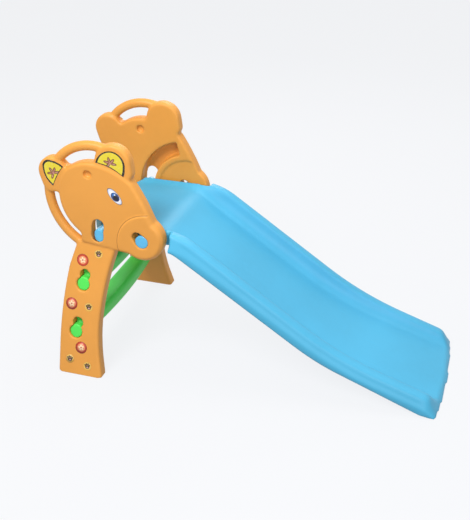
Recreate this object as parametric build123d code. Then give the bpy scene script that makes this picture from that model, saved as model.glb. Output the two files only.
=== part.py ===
"""Folding toddler slide: two animal-head side panels, a hinged chute and two steps.

Millimetres, +Z up, +X the way a child slides, +Y to the sliding child's left.
Every sub-part is drawn with X = 0 at the rear bottom corner of the feet and Y = 0 on the
mid-plane, and is moved to the part's own origin, the bottom centre of its box, when it is
written. The left panel (+Y) is drawn, and the right one is its mirror image.
"""
import os
from math import cos, degrees, radians, sin, tan

from build123d import *

# ---- driving dimensions -------------------------------------------------------------
ORIGIN_X = 493.0          # the box's centre, measured from the rear corner of the feet
FEET_SPACING = 540.0      # between the centres of the two feet, across
LEG_SPLAY = 15.0          # lean of each leg away from upright, degrees
LEG_THICK = 36.0
LEG_TOP_Z = 370.0         # where the leg runs out under the head

HEAD_IN = 157.0           # inner face of the head, from the mid-plane
HEAD_OUT = 195.0          # outer face of the head
EAR_OUT = 191.0           # outer face of the ears; their inner face is the head's
EDGE_R = 8.0              # rounding of the blow-moulded edges
SNOUT_RAISE = 4.0
HANDLE_R = 13.0           # both carrying handles are round tubes

PIVOT = (230.0, 393.5)    # the axis on which the chute folds, in X and Z
PIN_R, SHANK_R = 18.0, 11.0
RUN_GAP = 0.1             # radial clearance of the pivot pin
FOLD = 70.0               # degrees from in use to folded

KNOB_RADIUS = 125.0       # stop knobs, measured from the pivot
KNOB_ANGLE = 181.8        # where they lie in use, degrees about the pivot
KNOB_HALF_ARC = 8.7
KNOB_HALF_WIDTH = 14.0
GROOVE_IN, GROOVE_OUT = 106.0, 147.0
GROOVE_DEPTH = 32.0
PIVOT_DISH = 4.0          # depth of the round dish that the chute's boss turns in
PIN_SEAT = HEAD_IN + 3.0  # where the pin's journal starts, on the chute's boss
END_PLAY = 0.4            # degrees between knob and groove end

PLATFORM_HALF = 154.0
PLATFORM_REAR = 65.0
PLATFORM_Z = 410.0
RIM_Z = 420.0
PLATFORM_BOTTOM = 374.0
SHOULDER_R = 72.0         # the chute's shoulders curve round the snout at this radius
CHUTE_HALF = 197.0        # half width at the foot of the outer walls
RAIL_HALF = 180.0         # half width at the top of the outer walls
FLOOR_HALF = 112.0        # the flat of the sliding floor ends here
CHUTE_END = 1042.0
END_BOW_R = 1388.0        # the end is bowed outwards, seen from above

STEP_DEPTH, STEP_HEIGHT = 44.0, 40.0
STEP_BOW = 19.0           # how far the front edge of a step swells at mid-span
STEP_EDGE_R = 13.0
STEP_REAR, STEP_UNDER = 17.0, 15.0    # its rear edge and underside, from its lower peg
PEG_R, PEG_TAIL_R = 18.5, 14.5
PEG_GAP = 0.5
PEG_RECESS = 4.0          # peg end below the leg's outer face
TAIL_RECESS = 20.0
# lower lobe of each keyhole, and the offset to its upper lobe, in X and Z
KEYHOLES = {"lower": ((45.0, 118.5), (5.5, 26.0)), "upper": ((61.0, 251.5), (5.0, 26.0))}

STICKER = 0.5             # thickness of every sticker
NUMBER_DISCS = [(59.0, 318.0), (31.0, 195.5), (64.0, 77.5)]
SMALL_DISCS = [(104.5, 340.0), (82.0, 193.0), (31.5, 41.5), (84.5, 28.5)]
NUMBER_R, SMALL_R = 17.0, 12.5

FACE_CENTRE, BACK_HANDLE_R = (128.0, 500.0), 163.0
# each ear is the hull of a large and a small disc: centre and radius
REAR_EAR = [((-14.0, 557.0), 42.0), ((-22.0, 525.0), 25.0)]
FRONT_EAR = [((157.0, 601.0), 50.0), ((187.0, 578.0), 23.0)]
NOSE, NOSE_R = (228.0, 398.0), 61.0
SNOUT_SEAM, SNOUT_SEAM_R = (249.0, 383.0), 88.0

leg_mid_y = FEET_SPACING / 2 - LEG_TOP_Z * tan(radians(LEG_SPLAY))


# ---- helpers ------------------------------------------------------------------------
def slab(face, y_from, y_to):
    """A face drawn in X and Z, made into a plate between two Y positions."""
    return extrude(Plane.XZ.offset(-y_to) * face, y_to - y_from)


def disc(centre, radius, y_from, y_to):
    return slab(Pos(*centre) * Circle(radius), y_from, y_to)


def around(angle, radius, centre=PIVOT):
    """A point in X and Z at an angle and distance from a centre."""
    return (centre[0] + radius * cos(radians(angle)), centre[1] + radius * sin(radians(angle)))


def hull_of(discs):
    """The shape round two or more discs, as if a band were stretched over them."""
    outlines = [(Pos(*centre) * Circle(radius)).edge() for centre, radius in discs]
    return make_hull(outlines)


def sector(inner, outer, first, last):
    """A flat ring sector about the pivot with straight ends."""
    middle = (first + last) / 2
    rim = [around(a, outer) for a in (first, middle, last)]
    hub = [around(a, inner) for a in (last, middle, first)]
    edges = [ThreePointArc(*rim), Line(rim[2], hub[0]), ThreePointArc(*hub), Line(hub[2], rim[0])]
    return make_face(edges)


def arc_band(radius, half_width, first, last, centre=PIVOT):
    """A band round a centre, with round ends, between two angles."""
    path = [around(a, radius, centre) for a in (first, (first + last) / 2, last)]
    outer = [around(a, radius + half_width, centre) for a in (first, (first + last) / 2, last)]
    inner = [around(a, radius - half_width, centre) for a in (last, (first + last) / 2, first)]
    band = make_face([ThreePointArc(*outer), Line(outer[2], inner[0]),
                      ThreePointArc(*inner), Line(inner[2], outer[0])])
    return band + Pos(*path[0]) * Circle(half_width) + Pos(*path[2]) * Circle(half_width)


def tube(path, y):
    """A round handle along a path drawn in X and Z."""
    route = Plane.XZ.offset(-y) * path
    return sweep(Plane(origin=route @ 0, z_dir=route % 0) * Circle(HANDLE_R), route)


def on_leg(x, z):
    """A point of the leg's outer face, given in X and Z, in the flat frame it is drawn in."""
    lean_angle = radians(LEG_SPLAY)
    return (x, (z - LEG_TOP_Z - LEG_THICK / 2 * sin(lean_angle)) / cos(lean_angle))


def lean(shape):
    """Turn what was drawn flat, about the leg's top line, into the splayed leg's place."""
    return Pos(0, leg_mid_y, LEG_TOP_Z) * Rot(LEG_SPLAY, 0, 0) * shape


def mirrored(shape):
    return mirror(shape, about=Plane.XZ)


# ---- side panel ---------------------------------------------------------------------
def head_outline():
    """The head without ears and handles: round cheek, straight nose bridge, round snout."""
    bridge_foot = around(55, NOSE_R, NOSE)
    nose_tip = around(0, NOSE_R, NOSE)
    chin = around(-128, NOSE_R, NOSE)
    edges = [
        ThreePointArc((54, 394), (0, 492), (18, 566)),
        ThreePointArc((18, 566), (56, 591), (108, 597)),
        ThreePointArc((108, 597), (152, 587), (208, 554)),
        ThreePointArc((208, 554), (234, 510), bridge_foot),
        ThreePointArc(bridge_foot, nose_tip, chin),
        Line(chin, (54, 366)),
        Line((54, 366), (54, 394)),
    ]
    return make_face(edges)


def leg_outline():
    """The leg, drawn flat: a slim curved limb with a flared foot, longer than it will be."""
    foot = -(LEG_TOP_Z + 40) / cos(radians(LEG_SPLAY))
    heel, toe = (-3, foot), (134, foot)
    nape, throat = on_leg(41, 372), on_leg(156, 372)
    edges = [
        Line(heel, on_leg(-3, 70)),
        ThreePointArc(on_leg(-3, 70), on_leg(2, 190), on_leg(18, 300)),
        Line(on_leg(18, 300), nape),
        Line(nape, throat),
        ThreePointArc(throat, on_leg(127, 262), on_leg(113, 150)),
        ThreePointArc(on_leg(113, 150), on_leg(115, 85), on_leg(123, 30)),
        Line(on_leg(123, 30), toe),
        Line(toe, heel),
    ]
    return make_face(edges)


def keyhole(lobe, offset, grow):
    """The two-lobed shape of a keyhole, or of the peg in it."""
    tail = (lobe[0] + offset[0], lobe[1] + offset[1])
    return Pos(*lobe) * Circle(PEG_R + grow), Pos(*tail) * Circle(PEG_TAIL_R + grow)


def snout_hole():
    """An egg-shaped opening: a round bore for the pin, drawn out to the upper rear."""
    return hull_of([(PIVOT, PIN_R + RUN_GAP), ((PIVOT[0] - 12, PIVOT[1] + 13), 14)])


def softened(face, radius=10):
    """Round every corner of an outline, hollow corners and full ones alike."""
    filled = offset(offset(face, radius), -radius)
    return offset(offset(filled, -radius), radius)


def rounded(plate, radius):
    """Round the outline of a plate on both of its faces."""
    faces = plate.faces().sort_by(Axis.Y)
    return fillet(faces[0].edges() + faces[-1].edges(), radius)


def side_panel():
    outline = softened(head_outline())
    head = rounded(slab(outline, HEAD_IN, HEAD_OUT), EDGE_R)
    with_ears = softened(outline + hull_of(REAR_EAR) + hull_of(FRONT_EAR))
    ears = rounded(slab(with_ears, HEAD_IN, EAR_OUT), EDGE_R)
    mid = (HEAD_IN + HEAD_OUT) / 2
    top_handle = tube(ThreePointArc((-8, 580), (42, 626), (136, 634)), mid)
    back = [around(a, BACK_HANDLE_R, FACE_CENTRE) for a in (170, 206, 241)]
    back_handle = tube(ThreePointArc(*back), mid)

    leg = rounded(slab(softened(leg_outline()), -LEG_THICK / 2, LEG_THICK / 2), EDGE_R)
    leg = lean(leg)
    leg -= Pos(100, 200, -50) * Box(500, 400, 100)
    leg -= Pos(100, HEAD_IN - 49, LEG_TOP_Z) * Box(500, 100, 60)

    seam = Pos(*SNOUT_SEAM) * Circle(SNOUT_SEAM_R)
    plateau = slab(offset(outline, -EDGE_R + 1) & seam, HEAD_OUT - 4, HEAD_OUT + SNOUT_RAISE)
    plateau = fillet(plateau.faces().sort_by(Axis.Y)[-1].edges(), SNOUT_RAISE - 0.6)

    panel = ears + head + top_handle + back_handle + leg + plateau

    first = KNOB_ANGLE - FOLD - KNOB_HALF_ARC - END_PLAY
    last = KNOB_ANGLE + KNOB_HALF_ARC + END_PLAY
    groove = sector(GROOVE_IN, GROOVE_OUT, first, last)
    panel -= slab(groove, HEAD_IN - 1, HEAD_IN + GROOVE_DEPTH)
    panel -= disc(PIVOT, 90, HEAD_IN - 1, HEAD_IN + PIVOT_DISH)
    panel -= slab(snout_hole(), HEAD_IN - 10, HEAD_OUT + 10)
    panel -= slab(arc_band(126.5, 16.5, 166, 181.5), HEAD_IN, HEAD_OUT + 10)
    for lobe, shift in KEYHOLES.values():
        for shape in keyhole(lobe, shift, PEG_GAP):
            panel -= slab(shape, HEAD_IN, FEET_SPACING)
    panel -= disc((88, 566), 11, HEAD_OUT - 9, HEAD_OUT + 1)
    panel -= disc((88, 566), 11, HEAD_IN - 1, HEAD_IN + 9)
    return panel


# ---- chute --------------------------------------------------------------------------
def blend(a, b, share):
    return tuple(p + (q - p) * share for p, q in zip(a, b))


def rail_share(y):
    """Height across the chute: 0 on the floor, 1 on top of the rail."""
    across = min(max((abs(y) - FLOOR_HALF) / (152.0 - FLOOR_HALF), 0.0), 1.0)
    return across ** 3.0


def wall_share(y):
    """How far down the outer wall: 0 at the rail's top, 1 at its foot."""
    return min(max((abs(y) - RAIL_HALF) / (CHUTE_HALF - RAIL_HALF), 0.0), 1.0)


def chute_profile(y, start):
    """The chute's side profile in the plane at y: floor or rail on top, underside below."""
    up, down = rail_share(y), wall_share(y)
    drop = 3.0 * max((abs(y) - 168.0) / (RAIL_HALF - 168.0), 0.0) ** 2 if abs(y) < RAIL_HALF else 3.0
    drop += 36.0 * down
    crest = blend((266.0, PLATFORM_Z), (325.0, RIM_Z), up)
    bend = blend((706.6, 113.1), (761.6, 125.5), up)
    crest = (crest[0], crest[1] - drop)
    bend = (bend[0], bend[1] - drop * (1 - 0.25 * down))
    end_x = CHUTE_END - (END_BOW_R - (END_BOW_R ** 2 - y ** 2) ** 0.5)
    lip_x = end_x - 12 - 16 * up
    lip_z = bend[1] - (0.31 + 0.02 * up) * (lip_x - bend[0])
    lip = (lip_x, max(lip_z, 9.0))
    toe = (end_x, 0.0)
    ground = (blend((974,), (997,), down)[0], 0.0)
    under_bend = blend((706.6, 99.1), (701.8, 115.4), down)
    under_crest = blend((298.6, PLATFORM_BOTTOM), (312.0, 371.0), down)
    top = FilletPolyline((start, crest[1]), crest, bend, lip, toe,
                         radius=[100 + 75 * up, 900, 8 + 24 * up])
    bottom = FilletPolyline(toe, ground, under_bend, under_crest, (start, under_crest[1]),
                            radius=[60, 600, 60])
    return Plane.XZ.offset(-y) * make_face([top, bottom, Line(bottom @ 1, top @ 0)])


def chute():
    inner = [0, FLOOR_HALF, 120, 127, 133, 138, 142, 145, 148, 150, 152, PLATFORM_HALF]
    outer = [PLATFORM_HALF, 162, 168, 172, 176, RAIL_HALF, CHUTE_HALF]
    inner = [-y for y in reversed(inner[1:])] + inner
    body = loft([chute_profile(y, PLATFORM_REAR) for y in inner], ruled=True)
    for side in (-1, 1):
        wing = loft([chute_profile(side * y, 240.0) for y in outer], ruled=True)
        wing -= disc(PIVOT, SHOULDER_R, -300, 300)
        body += wing
        corner = Pos(PLATFORM_REAR, side * PLATFORM_HALF, 400) * Rot(0, 0, 45) * Box(46, 46, 120)
        body -= corner
        boss = slab(Pos(*PIVOT) * Circle(64), PLATFORM_HALF, PIN_SEAT)
        boss &= Pos(PIVOT[0], 170, 393) * Box(120, 60, 34)
        if side < 0:
            boss = mirrored(boss)
        body += boss
    return body


def pivot_pin():
    """One pin of the fold axis: a shank in the chute's side and a journal in the snout."""
    journal = disc(PIVOT, PIN_R, PIN_SEAT, HEAD_OUT + SNOUT_RAISE - 2)
    return journal + disc(PIVOT, SHANK_R, PIN_SEAT - 22, PIN_SEAT)


def stop_knob():
    """The knob that runs in the groove and stops the chute in use and folded."""
    spread = KNOB_HALF_ARC - degrees(KNOB_HALF_WIDTH / KNOB_RADIUS)
    shape = arc_band(KNOB_RADIUS, KNOB_HALF_WIDTH, KNOB_ANGLE - spread, KNOB_ANGLE + spread)
    knob = slab(shape, PLATFORM_HALF, HEAD_IN + GROOVE_DEPTH - 1)
    knob = fillet(knob.faces().sort_by(Axis.Y)[-1].edges(), 3)
    return knob + disc(around(KNOB_ANGLE, KNOB_RADIUS), 8, PLATFORM_HALF - 16, PLATFORM_HALF)


# ---- steps --------------------------------------------------------------------------
def step(lobe, shift):
    """A hollow tread with a bowed front edge and a two-lobed peg at each end."""
    rear, under = lobe[0] - STEP_REAR, lobe[1] - STEP_UNDER
    front, far = rear + STEP_DEPTH, 260.0
    plan = make_face([
        Line((front, -far), (rear, -far)),
        Line((rear, -far), (rear, far)),
        Line((rear, far), (front, far)),
        ThreePointArc((front, far), (front + STEP_BOW, 0), (front, -far)),
    ])
    tread = extrude(Pos(0, 0, under) * plan, STEP_HEIGHT)
    flats = tread.faces().sort_by(Axis.Z)
    tread = fillet(flats[0].edges() + flats[-1].edges(), STEP_EDGE_R)
    inner_face, outer_face = -LEG_THICK / 2, LEG_THICK / 2
    end_cut = lean(Pos(0, inner_face - 0.2 + 200, 0) * Box(900, 400, 1200))
    peg_cut = lean(Pos(0, outer_face - PEG_RECESS + 200, 0) * Box(900, 400, 1200))
    tail_cut = lean(Pos(0, outer_face - TAIL_RECESS + 200, 0) * Box(900, 400, 1200))
    head, tail = keyhole(lobe, shift, 0)
    start = leg_mid_y + (LEG_TOP_Z - lobe[1]) * tan(radians(LEG_SPLAY)) - 30
    tail_start = lean(Pos(0, inner_face - 0.2 - 200, 0) * Box(900, 400, 1200))
    peg = (slab(head, start, 400) - peg_cut) + (slab(tail, start, 400) - tail_cut)
    peg -= tail_start
    tread = tread - end_cut - mirrored(end_cut)
    return tread + peg + mirrored(peg)


# ---- stickers -----------------------------------------------------------------------
def eye_shape():
    return Pos(162, 515) * Rot(0, 0, -49) * Ellipse(27, 12)


def rear_ear_shape():
    tip, foot = (20, 579), (-14, 521)
    return make_face([
        ThreePointArc(tip, (2, 553), foot),
        ThreePointArc(foot, (-32, 541), (-39, 569)),
        ThreePointArc((-39, 569), (-33, 588), (-13, 592)),
        ThreePointArc((-13, 592), (4, 588), tip),
    ])


def front_ear_shape():
    tip, foot = (113, 601), (188, 570)
    return make_face([
        ThreePointArc(tip, (131, 628), (158, 637)),
        ThreePointArc((158, 637), (187, 621), (193, 592)),
        ThreePointArc((193, 592), (192, 581), foot),
        ThreePointArc(foot, (153, 591), tip),
    ])


def stickers():
    """Every sticker of the left panel, by name."""
    made = {
        "eye_sticker": slab(eye_shape(), HEAD_OUT, HEAD_OUT + STICKER),
        "rear_ear_sticker": slab(rear_ear_shape(), EAR_OUT, EAR_OUT + STICKER),
        "front_ear_sticker": slab(front_ear_shape(), EAR_OUT, EAR_OUT + STICKER),
    }
    rows = [("number_sticker", NUMBER_DISCS, NUMBER_R), ("animal_sticker", SMALL_DISCS, SMALL_R)]
    for name, places, radius in rows:
        for count, (x, z) in enumerate(places, 1):
            flat = disc(on_leg(x, z), radius, LEG_THICK / 2, LEG_THICK / 2 + STICKER)
            made[f"{name}_{count}"] = lean(flat)
    return made


# ---- all sub-parts ------------------------------------------------------------------
def build():
    slide = chute()
    left_panel, pin, knob = side_panel(), pivot_pin(), stop_knob()
    for piece in (pin, mirrored(pin), knob, mirrored(knob)):
        slide -= piece
    parts = {"chute": slide}
    for name, shape in {"side_panel": left_panel, "pivot_pin": pin, "stop_knob": knob, **stickers()}.items():
        parts[name + "_left"] = shape
        parts[name + "_right"] = mirrored(shape)
    for name, (lobe, shift) in KEYHOLES.items():
        parts[name + "_step"] = step(lobe, shift)
    return parts


os.makedirs("parts", exist_ok=True)
for node, shape in build().items():
    export_step(Pos(-ORIGIN_X, 0, 0) * shape, f"parts/{node}.step")
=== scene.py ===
"""Looks of a folding toddler slide: moulded plastic skins, printed stickers, studio and camera.

Every skin is a softened copy of the CAD node it stands for. Metres, in the CAD frame.
"""

from math import cos, pi, radians, sin

import bmesh
import bpy
from mathutils import Matrix, Vector
from mathutils.bvhtree import BVHTree


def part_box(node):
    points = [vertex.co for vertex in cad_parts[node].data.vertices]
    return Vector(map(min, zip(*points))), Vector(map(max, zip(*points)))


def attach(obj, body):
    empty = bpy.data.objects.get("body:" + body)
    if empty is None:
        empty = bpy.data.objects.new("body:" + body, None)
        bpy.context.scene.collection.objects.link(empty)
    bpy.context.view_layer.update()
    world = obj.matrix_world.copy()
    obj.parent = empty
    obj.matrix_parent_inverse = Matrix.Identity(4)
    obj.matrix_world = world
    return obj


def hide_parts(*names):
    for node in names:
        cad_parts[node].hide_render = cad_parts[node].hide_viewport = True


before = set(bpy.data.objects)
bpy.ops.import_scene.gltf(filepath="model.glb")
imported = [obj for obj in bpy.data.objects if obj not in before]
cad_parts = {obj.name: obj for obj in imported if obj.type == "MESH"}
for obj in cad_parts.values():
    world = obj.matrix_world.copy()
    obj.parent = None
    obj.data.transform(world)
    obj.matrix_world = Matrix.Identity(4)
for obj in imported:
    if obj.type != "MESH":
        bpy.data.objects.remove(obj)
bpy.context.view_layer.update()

LEAN = radians(15)        # lean of the legs
MM = 0.001
HEAD_OUT = 0.195          # outer face of the heads
PARTING = 0.176           # the parting line runs round the heads at this Y
SEAM = (-0.244, 0.383)    # centre of the seam round the snout, in X and Z
SEAM_R = 0.088
SEAM_BOTTOM = 0.34        # the seam fades out at this height
RAIL_PROBE = 0.172        # the height of the chute's rails is read at this Y
WALL_REAR, WALL_FRONT = -0.165, 0.505     # ends of the panel sunk in the chute's walls, in X
WALL_DROP = 0.011         # it starts this far below that height
WALL_PRESS = 0.0016       # and is this deep
EYE_HALF = (27, 12)       # half length and half width of the eye, in millimetres
SIDES = ("left", "right")

CAMERA_PLACE = (0.593, -2.114, 1.470)
CAMERA_DOWN, CAMERA_TURN = 28.41, 17.38   # degrees below level, and round from straight ahead
SENSOR = 36
LENS = 900 * SENSOR / 520
PALE = (0.93, 0.945, 0.97, 1)             # colour of the studio's light


def rgb(red, green, blue):
    """A colour given as 0 to 255 on a screen, as the shader wants it."""
    def linear(v):
        v /= 255
        return v / 12.92 if v <= 0.04045 else ((v + 0.055) / 1.055) ** 2.4
    return (linear(red), linear(green), linear(blue), 1.0)


# ---- shader helpers -------------------------------------------------------------------
class Value:
    """A shader socket that takes part in sums."""

    def __init__(self, paint, socket):
        self.paint, self.socket = paint, socket

    def sum(self, operation, *terms):
        return self.paint.node("Math", {"operation": operation}, dict(enumerate(terms)))

    def __add__(self, other):
        return self.sum("ADD", self, other)

    __radd__ = __add__

    def __sub__(self, other):
        return self.sum("SUBTRACT", self, other)

    def __rsub__(self, other):
        return self.sum("SUBTRACT", other, self)

    def __mul__(self, other):
        return self.sum("MULTIPLY", self, other)

    __rmul__ = __mul__

    def __truediv__(self, other):
        return self.sum("DIVIDE", self, other)

    def __pow__(self, other):
        return self.sum("POWER", self, other)

    def __abs__(self):
        return self.sum("ABSOLUTE", self)

    def most(self, other):
        return self.sum("MAXIMUM", self, other)

    def least(self, other):
        return self.sum("MINIMUM", self, other)

    def root(self):
        return self.sum("SQRT", self)

    def ramp(self, low, high):
        """0 at low and 1 at high, smooth between; low may be the greater."""
        return self.paint.node("MapRange", {"interpolation_type": "SMOOTHSTEP"},
                               {"Value": self, "From Min": low, "From Max": high})


class Paint:
    """One material, made node by node."""

    def __init__(self, name, **fixed):
        self.material = bpy.data.materials.new(name)
        self.material.use_nodes = True
        self.tree = self.material.node_tree
        self.shader = self.tree.nodes["Principled BSDF"]
        for socket, value in fixed.items():
            self.shader.inputs[socket.replace("_", " ")].default_value = value

    def node(self, kind, settings, inputs, out=0):
        made = self.tree.nodes.new("ShaderNode" + kind)
        for key, value in settings.items():
            setattr(made, key, value)
        for key, value in inputs.items():
            if isinstance(value, Value):
                self.tree.links.new(value.socket, made.inputs[key])
            else:
                made.inputs[key].default_value = value
        return Value(self, made.outputs[out])

    def place(self):
        return self.node("TexCoord", {}, {}, "Object")

    def print_place(self):
        """Across and up on a sticker, in millimetres from its centre."""
        uv = self.node("TexCoord", {}, {}, "UV")
        return self.split(uv)[:2]

    def split(self, vector):
        return [self.node("SeparateXYZ", {}, {0: vector}, axis) for axis in "XYZ"]

    def stretched(self, vector, scale):
        return self.node("Mapping", {}, {"Vector": vector, "Scale": scale})

    def noise(self, vector, scale, detail=2.0, roughness=0.5):
        return self.node("TexNoise", {}, {"Vector": vector, "Scale": scale, "Detail": detail,
                                          "Roughness": roughness})

    def mix(self, share, first, second):
        return self.node("Mix", {"data_type": "RGBA"}, {0: share, 6: first, 7: second}, 2)

    def feed(self, **links):
        for socket, value in links.items():
            self.tree.links.new(value.socket, self.shader.inputs[socket.replace("_", " ")])

    def relief(self, height, distance, strength=1.0):
        normal = self.node("Bump", {}, {"Height": height, "Distance": distance, "Strength": strength})
        self.feed(Normal=normal)


# ---- plastics -------------------------------------------------------------------------
def shade(colour, share):
    return tuple(min(c * share, 1.0) for c in colour[:3]) + (1.0,)


def moulded(name, colour, roughness, parting=None, scuffed=False):
    """Blow-moulded plastic: faint clouds of colour, a fine peel, a painted highlight on rounded rims
    and painted shade in hollows.

    parting gives it a parting line at that Y, a ridge with a painted highlight, and the seam
    round the snout, a groove with painted shadow in its crease and a painted highlight on its crest.
    scuffed rubs the floor of the chute along the way a child slides.
    """
    paint = Paint(name, Specular_IOR_Level=0.35, IOR=1.5)
    place = paint.place()
    clouds = paint.noise(place, 5, 3)
    mottle = paint.noise(place, 60, 4, 0.6)
    peel = paint.noise(place, 700, 2)
    bend = paint.node("NewGeometry", {}, {}, "Pointiness")
    tone = paint.mix(clouds.ramp(0.3, 0.7), shade(colour, 0.955), shade(colour, 1.035))
    tone = paint.mix(mottle.ramp(0.35, 0.75) * 0.25, tone, shade(colour, 1.06))
    # painted highlight: convex rims are lightened as if they caught the light
    tone = paint.mix(bend.ramp(0.515, 0.58) * 0.35, tone, shade(colour, 1.22))
    # painted shade: hollows are darkened where shade would fall
    tone = paint.mix(bend.ramp(0.485, 0.42) * 0.3, tone, shade(colour, 0.72))
    rough = roughness + (clouds - 0.5) * 0.12 + (peel - 0.5) * 0.06
    height = peel * 0.5 + mottle * 0.5
    along, across, up = paint.split(place)
    if scuffed:
        lines = paint.noise(paint.stretched(place, (5, 260, 5)), 1.0, 3, 0.7)
        patches = paint.noise(place, 9, 2)
        rubbed = (lines.ramp(0.56, 0.7) * patches.ramp(0.42, 0.62)
                  * abs(across).ramp(0.135, 0.09) * along.ramp(-0.25, 0.0))
        tone = paint.mix(rubbed * 0.22, tone, shade(colour, 1.25))
        rough = rough + rubbed * 0.16
        height = height - rubbed * 0.35
    if parting is not None:
        line = abs(abs(across) - parting).ramp(0.0011, 0.0002)
        height = height + line * 1.6
        # painted highlight along the raised parting line
        tone = paint.mix(line * 0.22, tone, shade(colour, 1.15))
        far = ((along - SEAM[0]) ** 2 + (up - SEAM[1]) ** 2).root()
        on_face = abs(across).ramp(HEAD_OUT - 0.003, HEAD_OUT - 0.0015)
        outside = on_face * up.ramp(SEAM_BOTTOM, SEAM_BOTTOM + 0.01)
        seam_groove_and_shadow = abs(far - SEAM_R - 0.0006).ramp(0.0017, 0.0004) * outside
        seam_crest_highlight = abs(far - SEAM_R + 0.0022).ramp(0.0022, 0.0004) * outside
        # painted shadow in the seam's crease; the same mask also sinks the groove in the bump below
        tone = paint.mix(seam_groove_and_shadow * 0.75, tone, shade(colour, 0.42))
        # painted highlight on the seam's crest
        tone = paint.mix(seam_crest_highlight * 0.4, tone, shade(colour, 1.25))
        height = height - seam_groove_and_shadow * 3
    paint.feed(Base_Color=tone, Roughness=rough)
    paint.relief(height, 0.00022, 0.55)
    return paint.material


def insert_plastic(name, colour):
    """The glossier plastic of pins and knobs, with fine marks of wear."""
    paint = Paint(name, Specular_IOR_Level=0.5, Coat_Roughness=0.12)
    place = paint.place()
    clouds = paint.noise(place, 24, 3)
    rub = paint.noise(paint.stretched(place, (90, 90, 700)), 1.0, 3, 0.6)
    tone = paint.mix(clouds.ramp(0.3, 0.7), shade(colour, 0.92), shade(colour, 1.08))
    paint.feed(Base_Color=tone, Roughness=0.24 + rub * 0.12, Coat_Weight=0.35 + clouds * 0.2)
    paint.relief(rub, 0.0001, 0.4)
    return paint.material


# ---- sticker prints --------------------------------------------------------------------
def film(name):
    """Printed vinyl film; its picture is mixed in by whoever calls this."""
    return Paint(name, Specular_IOR_Level=0.5)


def film_finish(paint, picture):
    grain = paint.noise(paint.place(), 1400, 2)
    worn = paint.noise(paint.place(), 160, 3)
    aged = paint.mix(worn.ramp(0.5, 0.8) * 0.14, picture, (0.85, 0.82, 0.74, 1))
    paint.feed(Base_Color=aged, Roughness=0.3 + worn * 0.18)
    paint.relief(grain, 0.00005, 0.5)
    return paint.material


def turned(u, v, degrees):
    c, s = cos(radians(degrees)), sin(radians(degrees))
    return u * c + v * s, v * c - u * s


def blob(u, v, centre, size, degrees=0, edge=0.12):
    """1 inside an oval and 0 outside it."""
    across, up = turned(u - centre[0], v - centre[1], degrees)
    far = ((across / size[0]) ** 2 + (up / size[1]) ** 2).root()
    return far.ramp(1 + edge, 1 - edge)


def union(masks):
    whole = masks[0]
    for mask in masks[1:]:
        whole = whole.most(mask)
    return whole


def sprig_print(name):
    """Ear sticker: a small sprig of leaves on yellow."""
    paint = film(name)
    u, v = paint.print_place()
    angles = (0.35, 1.25, 2.2, 3.3, 4.4)
    leaves = [blob(u, v, (9.5 * cos(a), 8.5 * sin(a)), (9.0, 3.8), a * 180 / pi)
              for a in angles]
    veins = [blob(u, v, (9.0 * cos(a), 8.1 * sin(a)), (6.2, 1.2), a * 180 / pi, 0.3)
             for a in angles]
    picture = paint.mix(union(leaves), rgb(228, 208, 48), rgb(112, 72, 34))
    picture = paint.mix(union(veins), picture, rgb(206, 140, 120))
    picture = paint.mix(blob(u, v, (0, 0), (2.6, 2.6)), picture, rgb(196, 130, 118))
    return film_finish(paint, picture)


def flower_print(name):
    """Round red sticker with a cream middle and a small flower."""
    paint = film(name)
    u, v = paint.print_place()
    far = (u ** 2 + v ** 2).root()
    picture = paint.mix(far.ramp(11.6, 10.8), rgb(196, 58, 30), rgb(236, 150, 104))
    picture = paint.mix(far.ramp(15.2, 16.0), picture, rgb(140, 34, 20))
    petals = [blob(u, v, (5.0 * cos(a), 5.0 * sin(a)), (3.6, 2.4), a * 180 / pi)
              for a in (0.5, 1.76, 3.01, 4.27, 5.53)]
    picture = paint.mix(union(petals), picture, rgb(248, 222, 178))
    picture = paint.mix(blob(u, v, (0, 0), (2.3, 2.3)), picture, rgb(190, 66, 40))
    return film_finish(paint, picture)


def paw_print(name):
    """Small round sticker: a paw on pale yellow."""
    paint = film(name)
    u, v = paint.print_place()
    far = (u ** 2 + v ** 2).root()
    toe_places = (((-6.0, 2.0), 24), ((-2.2, 5.4), 8), ((2.3, 5.4), -8), ((6.0, 2.0), -24))
    picture = paint.mix(far.ramp(11.2, 12.0), rgb(232, 184, 84), rgb(206, 146, 56))
    toes = [blob(u, v, spot, (2.2, 3.2), tilt) for spot, tilt in toe_places]
    pad = blob(u, v, (0, -2.8), (6.2, 4.9))
    picture = paint.mix(union([*toes, pad]), picture, rgb(44, 32, 26))
    picture = paint.mix(blob(u, v, (0.4, -3.6), (3.0, 2.3)), picture, rgb(206, 158, 150))
    return film_finish(paint, picture)


def eye_print(name):
    """The eye: pale oval with a dark rim, blue iris, dark pupil and a glint."""
    paint = film(name)
    u, v = paint.print_place()
    rim = ((u / EYE_HALF[0]) ** 2 + (v / EYE_HALF[1]) ** 2).root()
    picture = paint.mix(rim.ramp(0.55, 0.95), rgb(250, 250, 255), rgb(208, 212, 232))
    picture = paint.mix(rim.ramp(0.90, 0.96), picture, rgb(96, 84, 86))
    picture = paint.mix(blob(u, v, (2, 0), (13.6, 10.4), 0, 0.05), picture, rgb(14, 36, 92))
    picture = paint.mix(blob(u, v, (-3.5, 1.2), (6.0, 5.6), 0, 0.35), picture, rgb(48, 118, 196))
    picture = paint.mix(blob(u, v, (4.2, -0.4), (7.4, 6.0), 0, 0.12), picture, rgb(10, 12, 26))
    picture = paint.mix(blob(u, v, (-3.0, 3.2), (1.9, 1.6)), picture, rgb(255, 255, 255))
    return film_finish(paint, picture)


def outline_ink(name):
    paint = film(name)
    worn = paint.noise(paint.place(), 300, 3)
    return film_finish(paint, paint.mix(worn, rgb(22, 16, 10), rgb(36, 26, 16)))


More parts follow.
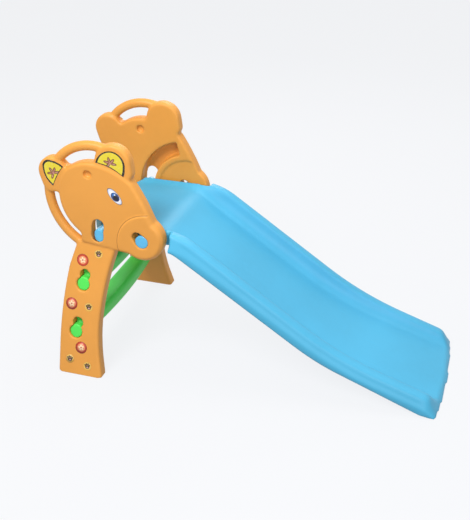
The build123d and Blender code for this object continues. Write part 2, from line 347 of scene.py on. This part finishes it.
ORANGE = moulded("orange_plastic", rgb(229, 157, 67), 0.46, parting=PARTING)
BLUE = moulded("blue_plastic", rgb(74, 172, 210), 0.42, scuffed=True)
GREEN = moulded("green_plastic", rgb(84, 226, 88), 0.42)
INSERT = insert_plastic("blue_insert", rgb(86, 186, 234))
INK = outline_ink("outline_ink")
SPRIG, FLOWER = sprig_print("sprig_film"), flower_print("flower_film")
PAW, EYE = paw_print("paw_film"), eye_print("eye_film")


# ---- skins -----------------------------------------------------------------------------
def copy_of(node):
    """The node's mesh with its doubles merged, ready to be worked on."""
    work = bmesh.new()
    work.from_mesh(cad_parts[node].data)
    bmesh.ops.remove_doubles(work, verts=work.verts, dist=0.00002)
    return work


def piece(name, work, *finishes):
    mesh = bpy.data.meshes.new(name)
    work.to_mesh(mesh)
    work.free()
    obj = bpy.data.objects.new(name, mesh)
    bpy.context.scene.collection.objects.link(obj)
    for finish in finishes:
        mesh.materials.append(finish)
    return obj


def remeshed(obj, voxel):
    """Even quads over the whole surface, so that its edges can be softened."""
    grid = obj.modifiers.new("even_grid", "REMESH")
    grid.mode = "VOXEL"
    grid.voxel_size = voxel
    bpy.context.view_layer.update()
    even = bpy.data.meshes.new_from_object(obj.evaluated_get(bpy.context.evaluated_depsgraph_get()))
    work = bmesh.new()
    work.from_mesh(even)
    bpy.data.meshes.remove(even)
    bpy.data.objects.remove(obj)
    return work


def soft_skin(node, body, finish, voxel, rounds, shape=None):
    """A softened copy of a CAD node, as blow moulding rounds every edge."""
    work = remeshed(piece(node + "_raw", copy_of(node)), voxel)
    if shape:
        shape(work)
    for _ in range(rounds):
        bmesh.ops.smooth_vert(work, verts=work.verts, factor=0.5,
                              use_axis_x=True, use_axis_y=True, use_axis_z=True)
    for face in work.faces:
        face.smooth = True
    skin = piece(node + "_skin", work, finish)
    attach(skin, body)
    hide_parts(node)
    return skin


def sticker(node, slot, *finishes, turn=0.0, tilt=0.0, border=0.0, lift=0.0):
    """A printed film: the node's plate with its picture laid on from its centre.

    Its dark outline is what the front leaves round itself when it is scaled down by border.
    lift raises the point that the front shrinks towards.
    """
    low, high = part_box(node)
    centre = (low + high) / 2
    outward = 1 if centre.y > 0 else -1
    work = copy_of(node)
    bmesh.ops.dissolve_limit(work, angle_limit=radians(2), verts=work.verts, edges=work.edges)
    front = max(work.faces, key=lambda face: face.calc_area() * (face.normal.y * outward > 0.5))
    if border:
        rim = bmesh.ops.inset_region(work, faces=[front], thickness=0.00005)
        for face in rim["faces"]:
            face.material_index = 1
        bmesh.ops.scale(work, vec=(1 - border, 1, 1 - border), verts=front.verts,
                        space=Matrix.Translation(-front.calc_center_bounds() - Vector((0, 0, lift))))
    layer = work.loops.layers.uv.new("print")
    c, s = cos(radians(turn)), sin(radians(turn))
    for face in work.faces:
        for loop in face.loops:
            across = (loop.vert.co.x - centre.x) / MM
            up = (loop.vert.co.z - centre.z) / MM / cos(tilt)
            loop[layer].uv = (across * c + up * s, up * c - across * s)
    film_piece = piece(node + "_film", work, *finishes)
    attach(film_piece, "frame")
    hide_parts(node)


def clamped(share):
    return min(max(share, 0), 1)


def sunk_wall(work):
    """A shallow panel pressed into each outer wall of the chute, a little inside its outline."""
    tree = BVHTree.FromBMesh(work)
    work.normal_update()
    for vert in work.verts:
        side = 1 if vert.co.y > 0 else -1
        if vert.normal.y * side < 0.6 or not WALL_REAR < vert.co.x < WALL_FRONT:
            continue
        top = tree.ray_cast(Vector((vert.co.x, side * RAIL_PROBE, 1)), Vector((0, 0, -1)))[0]
        if top is None:
            continue
        below = top.z - vert.co.z
        press = clamped((below - WALL_DROP) / 0.004)
        press *= clamped((vert.co.x - WALL_REAR) / 0.01)
        press *= clamped((WALL_FRONT - vert.co.x) / 0.02)
        vert.co.y -= side * WALL_PRESS * press


for side in SIDES:
    soft_skin("side_panel_" + side, "frame", ORANGE, 0.0026, 3)
    soft_skin("pivot_pin_" + side, "slide", INSERT, 0.0014, 3)
    soft_skin("stop_knob_" + side, "slide", INSERT, 0.0014, 3)
    sticker("eye_sticker_" + side, "eye_print", EYE, turn=-49)
    sticker("rear_ear_sticker_" + side, "ear_print", SPRIG, INK, border=0.15)
    sticker("front_ear_sticker_" + side, "ear_print", SPRIG, INK, turn=-24, border=0.14,
            lift=0.007)
    for count in (1, 2, 3):
        sticker(f"number_sticker_{count}_{side}", "number_print", FLOWER, tilt=LEAN)
    for count in (1, 2, 3, 4):
        sticker(f"animal_sticker_{count}_{side}", "animal_print", PAW, tilt=LEAN)

soft_skin("chute", "slide", BLUE, 0.004, 5, sunk_wall)
for name in ("upper_step", "lower_step"):
    soft_skin(name, "frame", GREEN, 0.0024, 3)


# ---- studio and camera -----------------------------------------------------------------
def studio_floor():
    """A pale floor and a round wall, hidden from diffuse rays so that they don't light the object."""
    work = bmesh.new()
    bmesh.ops.create_grid(work, x_segments=1, y_segments=1, size=12)
    bmesh.ops.translate(work, verts=work.verts, vec=(0, 0, -0.001))
    paint = Paint("studio_floor", Roughness=0.9, Specular_IOR_Level=0.0,
                  Emission_Color=(0.925, 0.935, 0.955, 1), Emission_Strength=0.905)
    clouds = paint.noise(paint.place(), 1.5, 2)
    paint.feed(Base_Color=paint.mix(clouds, (0.075, 0.075, 0.078, 1), (0.080, 0.080, 0.083, 1)))
    floor = piece("studio_floor", work, paint.material)
    floor.visible_diffuse = False
    round_wall = bmesh.new()
    bmesh.ops.create_uvsphere(round_wall, u_segments=48, v_segments=24, radius=11)
    bmesh.ops.reverse_faces(round_wall, faces=round_wall.faces)
    wall = piece("studio_wall", round_wall, paint.material)
    wall.visible_diffuse = wall.visible_shadow = False


def soft_light(name, place, aim, size, watts):
    lamp = bpy.data.lights.new(name, "AREA")
    lamp.shape = "DISK"
    lamp.size, lamp.energy = size, watts
    obj = bpy.data.objects.new(name, lamp)
    obj.location = place
    obj.rotation_euler = (Vector(aim) - Vector(place)).to_track_quat("-Z", "Y").to_euler()
    bpy.context.scene.collection.objects.link(obj)


def studio():
    studio_floor()
    world = bpy.data.worlds.new("studio")
    world.use_nodes = True
    sky = world.node_tree.nodes["Background"]
    sky.inputs["Color"].default_value = PALE
    sky.inputs["Strength"].default_value = 0.40
    bpy.context.scene.world = world
    soft_light("key", (-0.8, -1.7, 2.6), (0, 0, 0.3), 1.2, 60)
    soft_light("fill", (0.9, -1.7, 1.3), (-0.3, 0, 0.3), 1.0, 12)
    soft_light("back", (-0.5, 1.9, 1.7), (-0.1, 0, 0.3), 1.2, 12)
    soft_light("top", (0.5, 0.6, 2.8), (0.1, 0, 0.2), 1.8, 27)
    bpy.context.scene.view_settings.view_transform = "Standard"


def camera():
    data = bpy.data.cameras.new("camera")
    data.sensor_width = SENSOR
    data.lens = LENS
    obj = bpy.data.objects.new("camera", data)
    obj.location = CAMERA_PLACE
    obj.rotation_euler = (radians(90 - CAMERA_DOWN), 0, radians(CAMERA_TURN))
    bpy.context.scene.collection.objects.link(obj)
    bpy.context.scene.camera = obj


studio()
camera()
